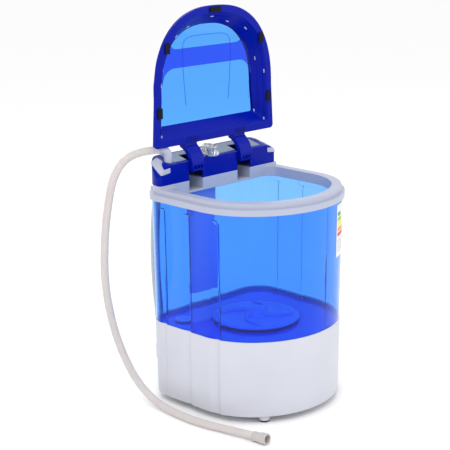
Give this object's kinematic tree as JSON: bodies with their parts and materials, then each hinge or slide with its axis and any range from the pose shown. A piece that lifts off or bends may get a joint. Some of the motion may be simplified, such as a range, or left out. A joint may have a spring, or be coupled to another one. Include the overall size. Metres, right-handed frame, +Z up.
{
  "type": "top load washing machine",
  "caption": "Small portable top loading washing machine with a clear tub on a plain base, a raised control box, a hinged lid standing open and a loose inlet hose.",
  "frame": {"origin": "middle of the footprint at floor level, without the loose inlet hose", "axes": "+X to the machine's right, +Y to the back where the lid is hinged, +Z up"},
  "size_m": [0.4416, 0.3887, 0.7967],
  "materials": {
    "white_plastic": "satin moulded",
    "base_plastic": "satin moulded",
    "clear_blue_tub": "clear tinted, polished",
    "clear_blue_window": "clear tinted, polished",
    "blue_plastic": "moulded, slightly glossy",
    "silver_panel": "metallic silver-blue print",
    "clear_knob": "clear faceted",
    "chrome_trim": "plated",
    "hose_pvc": "milky flexible PVC",
    "drain_hose_grey": "grey flexible hose",
    "connector_rubber": "soft grey-white",
    "black_rubber": "matte",
    "steel": "zinc plated",
    "black_plastic": "moulded",
    "motor_paint": "painted",
    "label": "printed sticker"
  },
  "bodies": {
    "chassis": {"base_shell": "white_plastic", "bottom_plate": "base_plastic", "base_screws": "steel", "cord_gland": "black_rubber", "wash_tub": "clear_blue_tub", "rim_frame": "white_plastic", "overflow_duct": "blue_plastic", "drain_strainer": "blue_plastic", "energy_label": "label", "control_box": "blue_plastic", "control_panel": "silver_panel", "panel_screws": "steel", "knob_bezel": "chrome_trim", "timer_body": "black_plastic", "inlet_elbow": "white_plastic", "inlet_hose": "hose_pvc", "tap_connector": "connector_rubber", "drain_elbow": "white_plastic", "drain_hose": "drain_hose_grey", "drain_hook": "white_plastic", "drive_belt": "black_rubber", "shaft_housing": "black_plastic", "water_seal": "black_rubber", "motor_case": "motor_paint", "motor_bracket": "motor_paint", "capacitor": "black_plastic", "terminal_block": "black_plastic", "foot_front_left": "black_rubber", "foot_front_right": "black_rubber", "foot_back_left": "black_rubber", "foot_back_right": "black_rubber", "hinge_pin_left": "steel", "hinge_pin_right": "steel", "hinge_bracket_left": "black_plastic", "hinge_bracket_right": "black_plastic", "hose_clip_left": "white_plastic", "hose_clip_right": "white_plastic"},
    "lid": {"lid_frame": "blue_plastic", "lid_ring": "blue_plastic", "lid_window": "clear_blue_window", "lid_band": "blue_plastic", "lid_pads": "black_rubber", "hinge_arm_left": "blue_plastic", "hinge_arm_right": "blue_plastic"},
    "pulsator": {"pulsator": "blue_plastic", "pulsator_cap": "blue_plastic", "pulsator_screw": "steel", "pulsator_shaft": "steel", "large_pulley": "black_plastic", "pulley_nut": "steel"},
    "motor_rotor": {"motor_shaft": "steel", "motor_pulley": "black_plastic"},
    "timer_dial": {"timer_knob": "clear_knob", "timer_shaft": "steel"}
  },
  "joints": [
    {"name": "lid_hinge", "type": "hinge", "parent": "chassis", "child": "lid", "pos_m": [0, 0.1353, 0.4837], "axis": [1, 0, 0], "range_deg": [0, 90]},
    {"name": "pulsator_spin", "type": "hinge", "parent": "chassis", "child": "pulsator", "pos_m": [0, -0.005, 0.17], "axis": [0, 0, 1], "continuous": true},
    {"name": "motor_spin", "type": "hinge", "parent": "chassis", "child": "motor_rotor", "pos_m": [0.098, -0.005, 0.06], "axis": [0, 0, 1], "continuous": true},
    {"name": "timer_turn", "type": "hinge", "parent": "chassis", "child": "timer_dial", "pos_m": [-0.016, 0.112, 0.49892], "axis": [0, 0.23, -0.9732], "range_deg": [0, 300]}
  ],
  "couplings": [
    {"joint": "motor_spin", "follows": "pulsator_spin", "ratio": 3.9195}
  ]
}
